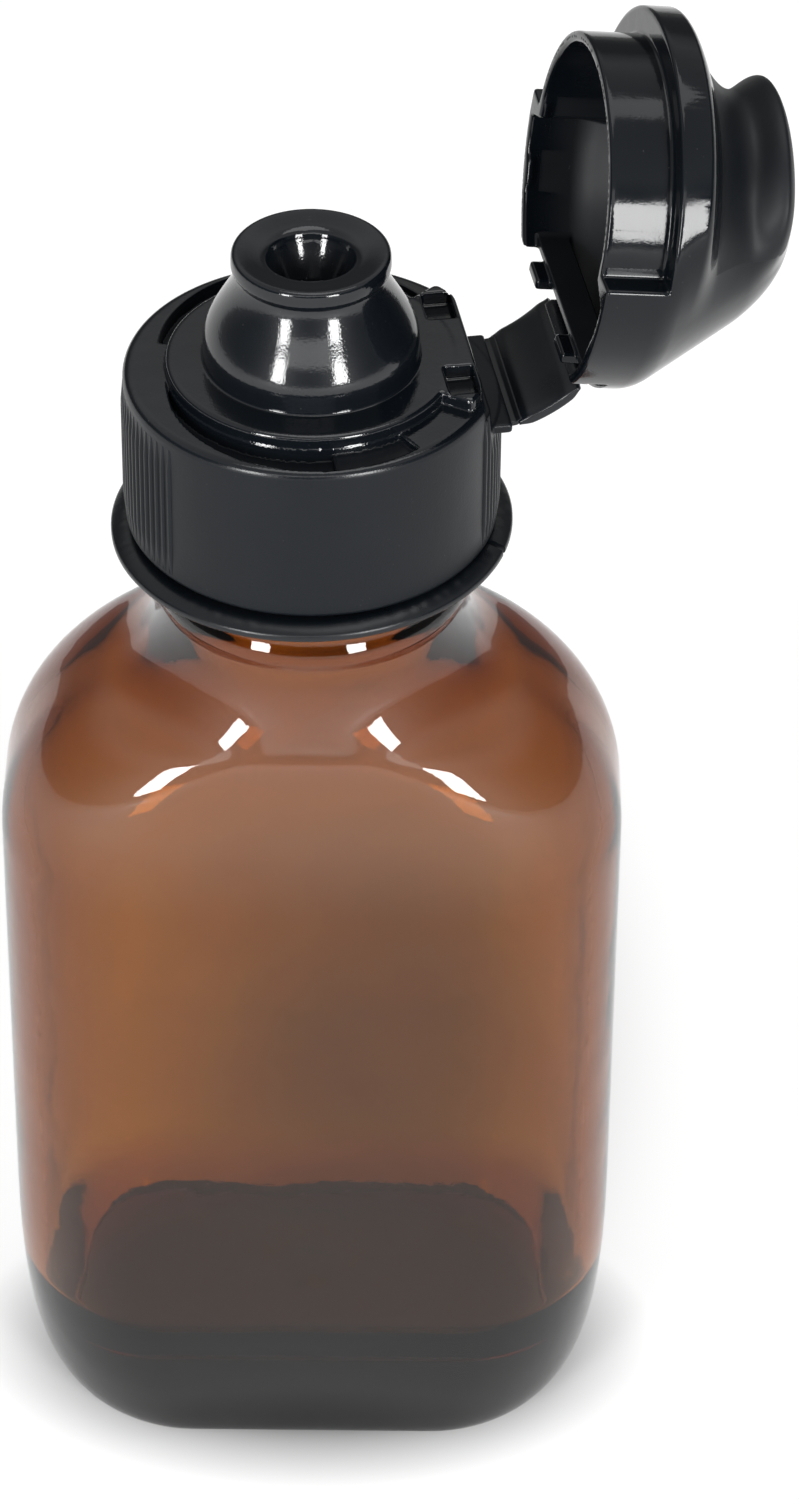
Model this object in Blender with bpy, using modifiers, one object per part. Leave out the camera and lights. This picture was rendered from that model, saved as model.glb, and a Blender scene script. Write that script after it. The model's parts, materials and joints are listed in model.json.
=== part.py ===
"""Glass ink bottle with a black screw closure: pouring nozzle, lid on a folding strap, and tamper band.

Metres, +Z up. The bottle stands on z = 0, its axis on the world Z axis and its broad face towards -Y.
The closure is drawn shut in its own frame, with the hinge towards +X, then turned by CAP_YAW and opened.
"""

import bmesh
import bpy
from math import acos, asin, atan2, cos, pi, radians, sin, sqrt
from mathutils import Vector

MM = 0.001

# Clearances
SEAT_GAP = 0.3 * MM
RUN_GAP = 0.4 * MM

# Glass body
BODY_WIDTH = 51.9 * MM
BODY_CORNER = 12.2 * MM
SHOULDER_Z = 62.0 * MM
SHOULDER_RISE = 16.0 * MM
HEEL_HEIGHT = 25.0 * MM
HEEL_POWER = 2.8
HEEL_END_INSET = 7.6 * MM
HEEL_FACE_INSET = 2.9 * MM
GLASS_WALL = 2.2 * MM
BASE_THICKNESS = 8.2 * MM
FLOOR_ROUND = 2.2 * MM

# Glass neck
NECK_RADIUS = 12.5 * MM
NECK_FLARE = 4.8 * MM
NECK_WALL = 2.7 * MM
NECK_BORE = NECK_RADIUS - NECK_WALL
NECK_HEIGHT = 24.6 * MM
FINISH_TOP = SHOULDER_Z + SHOULDER_RISE + NECK_HEIGHT
FINISH_ROUND = 0.7 * MM
BEAD_BELOW = 9.9 * MM
BEAD_Z = FINISH_TOP - BEAD_BELOW
BEAD_HEIGHT = 1.2 * MM
BEAD_PROUD = 1.1 * MM

# Screw thread, on the glass and inside the cap
THREAD_PITCH = 4.23 * MM
THREAD_HEIGHT = 1.2 * MM
THREAD_ROOT_HALF = 0.75 * MM
THREAD_CREST_HALF = 0.32 * MM
THREAD_BELOW = 5.6 * MM
GLASS_THREAD_Z = FINISH_TOP - THREAD_BELOW
GLASS_THREAD_TURNS = 0.95
CAP_THREAD_TURNS = 1.2

# Cap skirt and deck, fitted over the glass thread
CAP_YAW = radians(10.0)
CAP_WALL = 1.0 * MM
CAP_RADIUS = NECK_RADIUS + THREAD_HEIGHT + SEAT_GAP + CAP_WALL
BODY_DEPTH = 2 * CAP_RADIUS  # the flat bottle is as deep as its cap is wide
SKIRT_HEIGHT = 13.8 * MM
DECK_ABOVE = 3.5 * MM
RIM_Z = FINISH_TOP + DECK_ABOVE
SKIRT_FOOT_Z = RIM_Z - SKIRT_HEIGHT
RIM_FILLET = 0.5 * MM
BORE_STEP_BELOW = 1.3 * MM
BORE_STEP_Z = FINISH_TOP - BORE_STEP_BELOW
LINER_THICKNESS = 1.0 * MM
DECK_WIDTH = 3.4 * MM
PLATEAU_RADIUS = CAP_RADIUS - DECK_WIDTH
PLATEAU_RISE = 1.06 * MM
RECESS_SPARE = 0.13 * MM
RECESS_RADIUS = PLATEAU_RADIUS + RECESS_SPARE
RECESS_OFFSET = 2.67 * MM
RECESS_DEPTH = 1.2 * MM
RECESS_STEP_DEPTH = 0.6 * MM
RECESS_NEAR = radians(51.0)
RECESS_STEP = radians(79.0)
RECESS_FAR = radians(168.0)
RECESS_LAP = radians(4.0)
RECESS_TURN = radians(12.0)  # both crescents are turned this far from the hinge axis

# Tamper band, broken away below the skirt
BAND_TOP_PROUD = 0.35 * MM
BAND_PROUD = 1.25 * MM
BAND_TOP_RADIUS = CAP_RADIUS + BAND_TOP_PROUD
BAND_RADIUS = CAP_RADIUS + BAND_PROUD
BAND_SLACK = 0.5 * MM
BAND_BORE = NECK_RADIUS + BAND_SLACK
BAND_HEIGHT = 1.15 * MM
BAND_EDGE = 0.65 * MM
BAND_TILT = radians(1.2)
BAND_DROP = 0.45 * MM
BAND_SPLIT_AZIMUTH = radians(-17.0)
BAND_SPLIT_WIDTH = 0.6 * MM

# Hinge side of the deck
LAND_HALF_ANGLE = radians(36.5)
LAND_INSET = 0.7 * MM
LAND_RADIUS = CAP_RADIUS - LAND_INSET
LEDGE_INSET = 2.3 * MM
LEDGE_X = CAP_RADIUS - LEDGE_INSET
LEDGE_BELOW = 1.35 * MM
LEDGE_Z = RIM_Z - LEDGE_BELOW
REAR_FLAT_INSET = 1.7 * MM
REAR_FLAT_X = CAP_RADIUS - REAR_FLAT_INSET
STUB_HALF = 6.5 * MM

# Pouring nozzle
NOZZLE_HEIGHT = 10.8 * MM
LIP_Z = RIM_Z + NOZZLE_HEIGHT
LIP_RADIUS = 6.25 * MM
LIP_ROUND = 0.6 * MM
MOUTH_RADIUS = 3.6 * MM
WAIST_RADIUS = 6.0 * MM
WAIST_DROP = 1.5 * MM
NOZZLE_BASE_RADIUS = 8.6 * MM
NOZZLE_FOOT = 1.65 * MM
ORIFICE_RADIUS = 1.25 * MM
FUNNEL_DEPTH = 6.1 * MM
NOZZLE_WALL = 1.1 * MM

# Folding strap between the root crease on the cap and the end crease on the lid
STRAP_STANDOFF = 0.5 * MM
ROOT_CREASE_X = CAP_RADIUS + STRAP_STANDOFF
ROOT_CREASE_BELOW = 3.2 * MM
ROOT_CREASE_Z = RIM_Z - ROOT_CREASE_BELOW
STRAP_LENGTH = 6.0 * MM
STRAP_SHUT_ANGLE = radians(108.2)
STRAP_OPENING = radians(75.0)
STRAP_SAG = 0.4 * MM
STRAP_THICKNESS = 1.1 * MM
CREASE_THICKNESS = 0.5 * MM
STRAP_ROOT_HALF = 6.3 * MM
STRAP_END_HALF = 6.6 * MM

# Lid, with heights counted from the cap's rim when shut
LID_OPENING = radians(23.4)
LID_RADIUS = CAP_RADIUS
LID_WALL = 0.9 * MM
LID_HEIGHT = 17.3 * MM
LID_TOP_RADIUS = 5.5 * MM
LID_DOME = 0.3 * MM
RING_WALL = 0.9 * MM
RING_START = radians(93.0)
FLANGE_LOW = 5.3 * MM
FLANGE_TOP = 7.6 * MM
FLANK_RADIUS = 11.1 * MM
FLANK_HEIGHT = 9.9 * MM
SADDLE_RADIUS = 8.65 * MM
SADDLE_HEIGHT = 12.9 * MM
CROWN_RADIUS = 10.1 * MM
CROWN_HEIGHT = 15.3 * MM
BACK_DRAFT = 2.9 * MM
BACK_HEIGHT = 9.0 * MM
BACK_CROWN_RADIUS = 8.8 * MM
BACK_CROWN_HEIGHT = 14.5 * MM
CHORD_INSET = 5.0 * MM
CHORD_X = LID_RADIUS - CHORD_INSET
CHORD_WALL = 0.8 * MM
CHORD_LOW = 1.5 * MM
BAY_ROOF = 1.0 * MM
LUG_Y = 5.3 * MM
LUG_WIDTH = 3.0 * MM
LUG_THICKNESS = 1.1 * MM
LUG_TIP = 0.3 * MM
POCKET_DEPTH = 1.3 * MM
PLUG_RADIUS = 4.4 * MM
PLUG_TIP_RADIUS = 1.9 * MM
PLUG_STEM_RADIUS = 2.4 * MM
PLUG_DIP = 1.1 * MM

# Mesh fineness
ARC_POINTS = 13
TURN_STEPS = 60
LID_STEPS = 60

BURY = 0.2 * MM
PAST = 2.0 * MM
MERGE = 0.00001

for old in list(bpy.data.objects):
    bpy.data.objects.remove(old, do_unlink=True)

parts = bpy.data.collections.new("ink_bottle")
tools = bpy.data.collections.new("ink_bottle_cutters")
bpy.context.scene.collection.children.link(parts)
bpy.context.scene.collection.children.link(tools)


def finish(name, colour, roughness, transmission=0.0):
    made = bpy.data.materials.new(name)
    made.use_nodes = True
    shader = made.node_tree.nodes["Principled BSDF"]
    shader.inputs["Base Color"].default_value = (*colour, 1.0)
    shader.inputs["Roughness"].default_value = roughness
    shader.inputs["Metallic"].default_value = 0.0
    shader.inputs["Transmission Weight"].default_value = transmission
    return made


def add_object(name, mesh, parent=None, look=None):
    """A part when it has a look, and otherwise a hidden tool for a Boolean."""
    made = bpy.data.objects.new(name, mesh)
    if look:
        mesh.materials.append(look)
        parts.objects.link(made)
    else:
        tools.objects.link(made)
        made.hide_render = True
        made.display_type = "WIRE"
    made.parent = parent
    return made


def pivot(name, place, parent=None):
    made = bpy.data.objects.new(name, None)
    made.empty_display_size = 5 * MM
    made.location = place
    made.parent = parent
    parts.objects.link(made)
    return made


def loft(name, rings):
    """A closed mesh through rings of equal point counts, flat at both ends."""
    mesh = bpy.data.meshes.new(name)
    bm = bmesh.new()
    rows = [[bm.verts.new(point) for point in ring] for ring in rings]
    for low, high in zip(rows, rows[1:]):
        for i in range(len(low)):
            j = (i + 1) % len(low)
            bm.faces.new((low[i], low[j], high[j], high[i]))
    bm.faces.new(list(reversed(rows[0])))
    bm.faces.new(rows[-1])
    bmesh.ops.triangulate(bm, faces=bm.faces)
    bmesh.ops.recalc_face_normals(bm, faces=bm.faces)
    bm.to_mesh(mesh)
    bm.free()
    mesh.shade_smooth()
    mesh.set_sharp_from_angle(angle=radians(35))
    return mesh


def turned(name, profile, parent=None, look=None):
    """A closed outline of (radius, z) points, outer side first and downwards, turned about Z."""
    mesh = bpy.data.meshes.new(name)
    edges = [(i, (i + 1) % len(profile)) for i in range(len(profile))]
    mesh.from_pydata([(radius, 0.0, z) for radius, z in profile], edges, [])
    made = add_object(name, mesh, parent, look)
    screw = made.modifiers.new("turn", "SCREW")
    screw.axis = "Z"
    screw.steps = TURN_STEPS
    screw.render_steps = TURN_STEPS
    screw.use_merge_vertices = True
    screw.merge_threshold = MERGE
    screw.use_smooth_shade = True
    return made


def box(name, low, high, parent=None):
    outline = [(low[0], low[1]), (high[0], low[1]), (high[0], high[1]), (low[0], high[1])]
    return slab(name, outline, low[2], high[2], parent)


def slab(name, outline, low, high, parent=None):
    """A flat outline raised from low to high."""
    rings = [[(x, y, z) for x, y in outline] for z in (low, high)]
    return add_object(name, loft(name, rings), parent)


def combine(target, tool, operation):
    step = target.modifiers.new(tool.name, "BOOLEAN")
    step.operation = operation
    step.solver = "EXACT"
    step.object = tool


def ease(t):
    t = min(max(t, 0.0), 1.0)
    return t * t * (3.0 - 2.0 * t)


def polar(radius, azimuth):
    return (radius * cos(azimuth), radius * sin(azimuth))


def arc(start, end, steps):
    return [start + (end - start) * i / steps for i in range(steps + 1)]


def helix_ridge(name, root, crest, start_z, turns, parent=None):
    """A thread ridge that fades out over its first and last eighth of a turn."""
    rings = []
    for along in arc(0.0, turns, int(turns * TURN_STEPS * 0.6)):
        fade = max(ease(min(along, turns - along) / 0.125), 0.05)
        z = start_z + THREAD_PITCH * along
        tip = root + (crest - root) * fade
        section = [
            (root, -THREAD_ROOT_HALF), (tip, -THREAD_CREST_HALF),
            (tip, THREAD_CREST_HALF), (root, THREAD_ROOT_HALF),
        ]
        rings.append([(*polar(radius, 2 * pi * along), z + rise) for radius, rise in section])
    return add_object(name, loft(name, rings), parent)


def oval(half_width, half_depth, corner, z):
    """A rounded rectangle, which is a circle when its three sizes are equal."""
    points = []
    for quarter in range(4):
        side = half_width - corner if quarter in (0, 3) else corner - half_width
        face = half_depth - corner if quarter in (0, 1) else corner - half_depth
        for i in range(ARC_POINTS):
            a = (quarter + (i + 0.5) / ARC_POINTS) * pi / 2
            points.append((side + corner * cos(a), face + corner * sin(a), z))
    return points


def heel(z):
    """How far the heel has drawn in at a height, from 1 at the base to 0 at the heel's top."""
    return 1 - (1 - max(0.0, 1 - z / HEEL_HEIGHT) ** HEEL_POWER) ** (1 / HEEL_POWER)


def shoulder(half_width, half_depth, corner, rise, neck):
    """Sections up an elliptical shoulder and round a tangent flare into the neck."""
    swell = half_width - neck
    last = acos(NECK_FLARE / swell)
    stations = [(swell * cos(a), SHOULDER_Z + rise * sin(a)) for a in arc(0.0, last, 8)]
    top = stations[-1][1]
    lean = atan2(rise * cos(last), swell * sin(last))
    sweep = NECK_FLARE / (1 - sin(lean))
    for a in arc(lean, pi / 2, 4)[1:]:
        stations.append((NECK_FLARE - sweep * (sin(a) - sin(lean)), top + sweep * (cos(lean) - cos(a))))
    rings = []
    for extra, z in stations:
        share = extra / swell
        depth = neck + (half_depth - neck) * share
        rings.append(oval(neck + extra, depth, neck + (corner - neck) * share, z))
    return rings


# Glass bottle: body, neck, bead and thread in one piece
def make_bottle(look):
    half_width = BODY_WIDTH / 2
    half_depth = BODY_DEPTH / 2
    rings = []
    for a in arc(0.0, pi / 2, 8):
        z = HEEL_HEIGHT * (1 - cos(a))
        face = HEEL_FACE_INSET * heel(z)
        rings.append(oval(half_width - HEEL_END_INSET * heel(z), half_depth - face, BODY_CORNER - face, z))
    rings += shoulder(half_width, half_depth, BODY_CORNER, SHOULDER_RISE, NECK_RADIUS)
    for radius, z in (
        (NECK_RADIUS, BEAD_Z - BURY),
        (NECK_RADIUS + BEAD_PROUD, BEAD_Z),
        (NECK_RADIUS + BEAD_PROUD, BEAD_Z + BEAD_HEIGHT * 0.4),
        (NECK_RADIUS, BEAD_Z + BEAD_HEIGHT),
        (NECK_RADIUS, FINISH_TOP - FINISH_ROUND),
        (NECK_RADIUS - FINISH_ROUND, FINISH_TOP),
        (NECK_BORE + FINISH_ROUND, FINISH_TOP),
        (NECK_BORE, FINISH_TOP - FINISH_ROUND),
    ):
        rings.append(oval(radius, radius, radius, z))
    inside = shoulder(
        half_width - GLASS_WALL, half_depth - GLASS_WALL, BODY_CORNER - GLASS_WALL,
        SHOULDER_RISE - GLASS_WALL, NECK_BORE)
    rings += list(reversed(inside))
    for a in arc(0.0, pi / 2, 3):
        z = BASE_THICKNESS + FLOOR_ROUND * (1 - sin(a))
        draw = GLASS_WALL + FLOOR_ROUND * (1 - cos(a))
        face = HEEL_FACE_INSET * heel(z) + draw
        end = HEEL_END_INSET * heel(z) + draw
        rings.append(oval(half_width - end, half_depth - face, BODY_CORNER - face, z))
    bottle = add_object("glass_bottle", loft("glass_bottle", rings), None, look)
    crest = NECK_RADIUS + THREAD_HEIGHT
    thread = helix_ridge("glass_thread", NECK_RADIUS - BURY, crest, GLASS_THREAD_Z, GLASS_THREAD_TURNS)
    combine(bottle, thread, "UNION")
    return bottle


# Tamper band: broken away from the skirt, split once, held on the neck under the bead
def make_band(look):
    top = BAND_HEIGHT / 2
    low = -top
    band = turned("tamper_band", [
        (BAND_TOP_RADIUS, top),
        (BAND_RADIUS, low + BAND_EDGE),
        (BAND_RADIUS, low + BURY),
        (BAND_RADIUS - BURY, low),
        (BAND_BORE, low),
        (BAND_BORE, top),
    ], None, look)
    band.location.z = SKIRT_FOOT_Z - BAND_DROP - top
    band.rotation_euler.y = -BAND_TILT
    half = BAND_SPLIT_WIDTH / 2
    split = box("band_split", (0, -half, low - PAST), (BAND_RADIUS + PAST, half, top + PAST), band)
    split.rotation_euler.z = BAND_SPLIT_AZIMUTH
    combine(band, split, "DIFFERENCE")
    return band


# Liner: soft ring between the glass lip and the cap's ceiling
def make_liner(look):
    low = FINISH_TOP + SEAT_GAP
    top = low + LINER_THICKNESS
    outer = NECK_RADIUS + SEAT_GAP / 2
    profile = [(outer, top), (outer, low), (NECK_BORE, low), (NECK_BORE, top)]
    return turned("neck_liner", profile, None, look)


def cap_profile():
    """Nozzle lip and flank, deck, skirt, bore, ceiling, nozzle cavity and funnel, in that order."""
    plateau = RIM_Z + PLATEAU_RISE
    waist = LIP_Z - WAIST_DROP
    profile = [(MOUTH_RADIUS, LIP_Z - LIP_ROUND * 0.5), (MOUTH_RADIUS + LIP_ROUND, LIP_Z - LIP_ROUND * 0.1)]
    for a in arc(pi / 2, -pi / 4, 3):
        profile.append((LIP_RADIUS - LIP_ROUND * (1 - cos(a)), LIP_Z - LIP_ROUND * (1 - sin(a))))
    flare = NOZZLE_BASE_RADIUS - WAIST_RADIUS
    drop = waist - plateau - NOZZLE_FOOT
    for share in arc(0.0, 1.0, 9):
        profile.append((WAIST_RADIUS + flare * ease(share), waist - drop * share))
    profile += [(NOZZLE_BASE_RADIUS, plateau), (PLATEAU_RADIUS, plateau), (PLATEAU_RADIUS, RIM_Z)]
    for a in arc(pi / 2, 0.0, 3):
        profile.append((CAP_RADIUS - RIM_FILLET * (1 - cos(a)), RIM_Z - RIM_FILLET * (1 - sin(a))))
    bore = CAP_RADIUS - CAP_WALL
    seat = NECK_RADIUS + RUN_GAP
    ceiling = FINISH_TOP + LINER_THICKNESS + 2 * SEAT_GAP
    funnel = LIP_Z - FUNNEL_DEPTH
    roof = waist - NOZZLE_WALL
    profile += [
        (CAP_RADIUS, SKIRT_FOOT_Z),
        (bore, SKIRT_FOOT_Z),
        (bore, BORE_STEP_Z),
        (seat, BORE_STEP_Z),
        (seat, ceiling),
        (NOZZLE_BASE_RADIUS - NOZZLE_WALL, ceiling),
        (WAIST_RADIUS - NOZZLE_WALL * 0.5, funnel),
        (WAIST_RADIUS - NOZZLE_WALL, roof),
        (MOUTH_RADIUS, roof),
        (ORIFICE_RADIUS + NOZZLE_WALL, funnel - NOZZLE_WALL * 0.5),
        (ORIFICE_RADIUS, funnel - NOZZLE_WALL * 0.5),
        (ORIFICE_RADIUS, funnel),
    ]
    return profile


def recess(name, side, start, end, depth, axis):
    """One stretch of the crescent between the plateau and an offset circle."""
    outer = []
    for a in arc(start, end, 14):
        offset = RECESS_OFFSET * sin(a)
        reach = offset + sqrt(RECESS_RADIUS ** 2 - RECESS_OFFSET ** 2 + offset ** 2)
        outer.append((max(reach, PLATEAU_RADIUS + 2 * BURY), a))
    inner = [(PLATEAU_RADIUS + BURY, a) for a in arc(end, start, 14)]
    outline = [polar(radius, side * a) for radius, a in outer + inner]
    return slab(name, outline, RIM_Z - depth, RIM_Z + PAST, axis)


# Screw cap: skirt, deck, pouring nozzle and thread in one moulding
def make_cap(look, axis):
    cap = turned("screw_cap", cap_profile(), axis, look)
    plateau = RIM_Z + PLATEAU_RISE
    half_strap = STRAP_THICKNESS / 2
    wide = CAP_RADIUS + PAST
    turn = arc(-LAND_HALF_ANGLE, LAND_HALF_ANGLE, 16)
    land = [polar(LAND_RADIUS, a) for a in turn] + [polar(PLATEAU_RADIUS - PAST, a) for a in reversed(turn)]
    combine(cap, slab("hinge_land", land, RIM_Z - RIM_FILLET, plateau - BURY / 10, axis), "UNION")
    ledge = box("ledge_cut", (LEDGE_X, -wide, LEDGE_Z), (wide, wide, plateau + PAST), axis)
    combine(cap, ledge, "DIFFERENCE")
    stub_top = ROOT_CREASE_Z + half_strap * 0.5
    flat = box("flat_cut", (REAR_FLAT_X, -wide, stub_top + BURY / 4), (wide, wide, plateau + PAST), axis)
    combine(cap, flat, "DIFFERENCE")
    combine(cap, box(
        "strap_stub", (REAR_FLAT_X - BURY, -STUB_HALF, ROOT_CREASE_Z - half_strap),
        (ROOT_CREASE_X - RUN_GAP, STUB_HALF, stub_top), axis), "UNION")
    for side, label in ((1, "back"), (-1, "front")):
        turn = -side * RECESS_TURN
        deep = recess("recess_" + label, side, RECESS_STEP + turn, RECESS_FAR + turn, RECESS_DEPTH, axis)
        combine(cap, deep, "DIFFERENCE")
        lap = RECESS_STEP + RECESS_LAP + turn
        step = recess("recess_step_" + label, side, RECESS_NEAR + turn, lap, RECESS_STEP_DEPTH, axis)
        combine(cap, step, "DIFFERENCE")
        middle = side * LUG_Y
        half = LUG_WIDTH / 2 + RUN_GAP
        far = CHORD_X + CHORD_WALL + LUG_THICKNESS + RUN_GAP
        pocket = box(
            "pocket_" + label, (CHORD_X, middle - half, plateau - POCKET_DEPTH),
            (far, middle + half, plateau + PAST), axis)
        combine(cap, pocket, "DIFFERENCE")
    below = THREAD_ROOT_HALF + THREAD_CREST_HALF + SEAT_GAP
    thread = helix_ridge(
        "cap_thread", CAP_RADIUS - CAP_WALL + BURY, NECK_RADIUS + SEAT_GAP,
        GLASS_THREAD_Z - below, CAP_THREAD_TURNS, axis)
    thread.rotation_euler.z = -CAP_YAW
    combine(cap, thread, "UNION")
    return cap


# Strap: a curved plate, thin at both creases, drawn along +X from its root crease
def make_strap(look, strap_pivot):
    radius = (STRAP_LENGTH ** 2 / 4 + STRAP_SAG ** 2) / (2 * STRAP_SAG)
    sweep = asin(STRAP_LENGTH / 2 / radius)
    rings = []
    for share in arc(0.02, 0.98, 12):
        a = sweep * (2 * share - 1)
        thick = CREASE_THICKNESS + (STRAP_THICKNESS - CREASE_THICKNESS) * ease(4 * min(share, 1 - share))
        half = STRAP_ROOT_HALF + (STRAP_END_HALF - STRAP_ROOT_HALF) * share
        chamfer = thick * 0.3
        middle = Vector((STRAP_LENGTH / 2 + radius * sin(a), 0, radius * (cos(sweep) - cos(a))))
        up = Vector((-sin(a), 0, cos(a)))
        ring = []
        for across, y in (
            (-0.5, chamfer - half), (-0.5, half - chamfer), (-0.2, half), (0.2, half),
            (0.5, half - chamfer), (0.5, chamfer - half), (0.2, -half), (-0.2, -half),
        ):
            ring.append(middle + up * (across * thick) + Vector((0, y, 0)))
        rings.append(ring)
    strap = add_object("hinge_strap", loft("hinge_strap", rings), strap_pivot, look)
    strap.rotation_euler.y = -STRAP_SHUT_ANGLE
    return strap


def through(keys, height):
    """A smooth curve through (height, radius) keys."""
    i = 0
    while i < len(keys) - 2 and height > keys[i + 1][0]:
        i += 1
    (h0, r0), (h1, r1) = keys[i], keys[i + 1]
    ha, ra = keys[i - 1] if i else (h0 - 1, r0)
    hb, rb = keys[i + 2] if i + 2 < len(keys) else (h1 + 1, r1)
    t = (height - h0) / (h1 - h0)
    start = (r1 - ra) / (h1 - ha) * (h1 - h0)
    end = (rb - r0) / (hb - h0) * (h1 - h0)
    return r0 * (1 - ease(t)) + r1 * ease(t) + start * t * (1 - t) ** 2 - end * t * t * (1 - t)


def lid_skin(azimuth, height):
    """The lid's outer radius: a waisted outline on the thumb side and a tapered back on the hinge side."""
    thumb = [
        (0, LID_RADIUS), (FLANGE_LOW, LID_RADIUS), (FLANGE_TOP, LID_RADIUS),
        (FLANK_HEIGHT, FLANK_RADIUS), (SADDLE_HEIGHT, SADDLE_RADIUS),
        (CROWN_HEIGHT, CROWN_RADIUS), (LID_HEIGHT, LID_TOP_RADIUS),
    ]
    back = [
        (0, LID_RADIUS), (FLANGE_LOW * 0.5, LID_RADIUS), (FLANGE_LOW, LID_RADIUS),
        (BACK_HEIGHT, LID_RADIUS - BACK_DRAFT), (BACK_CROWN_HEIGHT, BACK_CROWN_RADIUS),
        (LID_HEIGHT, LID_TOP_RADIUS),
    ]
    share = ease((0.25 - cos(azimuth)) / 0.8)
    return through(back, height) * (1 - share) + through(thumb, height) * share


def lid_inside(azimuth, height):
    """The lid's inner radius: a snap ring on the thumb side and a thin wall on the hinge side."""
    room = lid_skin(azimuth, min(height + LID_WALL * 0.7, LID_HEIGHT)) - LID_WALL
    ring = PLATEAU_RADIUS + SEAT_GAP
    away = abs(azimuth if azimuth < pi else 2 * pi - azimuth)
    share = ease((away - RING_START + radians(9)) / radians(6))
    return room * (1 - share) + min(room, ring) * share


# Lid: drawn shut over the nozzle, then carried by its pivot
def make_lid(look, lid_pivot, shut):
    def place(tool):
        tool.location = (-shut.x, 0, -shut.z)
        return tool

    turn = [2 * pi * i / LID_STEPS for i in range(LID_STEPS)]
    heights = [SEAT_GAP, FLANGE_LOW * 0.5, FLANGE_LOW, FLANGE_TOP - RIM_FILLET]
    heights += arc(FLANGE_TOP, LID_HEIGHT, 13)
    skin = [[(*polar(lid_skin(a, h), a), RIM_Z + h) for a in turn] for h in heights]
    skin.append([(*polar(LID_TOP_RADIUS * 0.5, a), RIM_Z + LID_HEIGHT + LID_DOME) for a in turn])
    lid = place(add_object("flip_lid", loft("flip_lid", skin), lid_pivot, look))
    ceiling = LID_HEIGHT - 1.5 * LID_WALL
    levels = [-PAST, FLANGE_LOW * 0.9] + arc(FLANGE_TOP, ceiling, 9)
    hollow = [[(*polar(lid_inside(a, max(h, 0)), a), RIM_Z + h) for a in turn] for h in levels]
    inside = place(add_object("lid_inside", loft("lid_inside", hollow), lid_pivot))
    bay_top = shut.z - RIM_Z + CREASE_THICKNESS / 2 + RUN_GAP
    wide = LID_RADIUS + PAST
    block = place(box(
        "chord_block", (CHORD_X, -wide, RIM_Z + CHORD_LOW),
        (wide, wide, RIM_Z + bay_top + BAY_ROOF), lid_pivot))
    combine(inside, block, "DIFFERENCE")
    combine(lid, inside, "DIFFERENCE")
    sweep = arc(RING_START, 2 * pi - RING_START, 32)
    ring_outer = PLATEAU_RADIUS + SEAT_GAP + RING_WALL
    outline = [polar(wide, a) for a in sweep] + [polar(ring_outer, a) for a in reversed(sweep)]
    flange = place(slab("flange_cut", outline, RIM_Z - PAST, RIM_Z + FLANGE_LOW, lid_pivot))
    combine(lid, flange, "DIFFERENCE")
    bay = place(box(
        "strap_bay", (CHORD_X + CHORD_WALL, -wide, RIM_Z - PAST), (wide, wide, RIM_Z + bay_top), lid_pivot))
    combine(lid, bay, "DIFFERENCE")
    for side, label in ((1, "back"), (-1, "front")):
        middle = side * LUG_Y
        lug = place(box(
            "lug_" + label, (CHORD_X + CHORD_WALL / 2, middle - LUG_WIDTH / 2, RIM_Z + LUG_TIP),
            (CHORD_X + CHORD_WALL + LUG_THICKNESS / 2, middle + LUG_WIDTH / 2, RIM_Z + bay_top + BURY),
            lid_pivot))
        combine(lid, lug, "UNION")
    lip = LIP_Z - RIM_Z
    stations = (
        (PLUG_STEM_RADIUS, ceiling + BURY),
        (PLUG_STEM_RADIUS, lip + 1.5 * MM),
        (PLUG_RADIUS, lip + 0.8 * MM),
        (PLUG_RADIUS, lip + RUN_GAP),
        (PLUG_TIP_RADIUS, lip - PLUG_DIP),
    )
    rings = [[(*polar(radius, 2 * pi * i / 24), RIM_Z + h) for i in range(24)] for radius, h in stations]
    combine(lid, place(add_object("plug", loft("plug", rings), lid_pivot)), "UNION")
    return lid


amber = finish("amber_glass", (0.30, 0.12, 0.04), 0.04, 0.9)
satin_black = finish("cap_satin_black", (0.026, 0.028, 0.032), 0.42)
gloss_black = finish("lid_black", (0.022, 0.024, 0.028), 0.34)
band_black = finish("band_black", (0.026, 0.028, 0.032), 0.45)
strap_black = finish("strap_black", (0.024, 0.026, 0.030), 0.38)
liner_white = finish("liner_white", (0.82, 0.82, 0.80), 0.6)

cap_axis = pivot("cap_axis", (0, 0, 0))
cap_axis.rotation_euler.z = CAP_YAW
strap_pivot = pivot("strap_pivot", (ROOT_CREASE_X, 0, ROOT_CREASE_Z), cap_axis)
strap_pivot.rotation_euler.y = STRAP_OPENING
strap_reach = Vector((STRAP_LENGTH * cos(STRAP_SHUT_ANGLE), 0, STRAP_LENGTH * sin(STRAP_SHUT_ANGLE)))
lid_pivot = pivot("lid_pivot", strap_reach, strap_pivot)
lid_pivot.rotation_euler.y = LID_OPENING

make_bottle(amber)
make_band(band_black)
make_liner(liner_white)
make_cap(satin_black, cap_axis)
make_strap(strap_black, strap_pivot)
make_lid(gloss_black, lid_pivot, Vector((ROOT_CREASE_X, 0, ROOT_CREASE_Z)) + strap_reach)
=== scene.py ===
import json
import math

import bmesh
import bpy
import numpy as np
from mathutils import Matrix, Vector, noise

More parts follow.
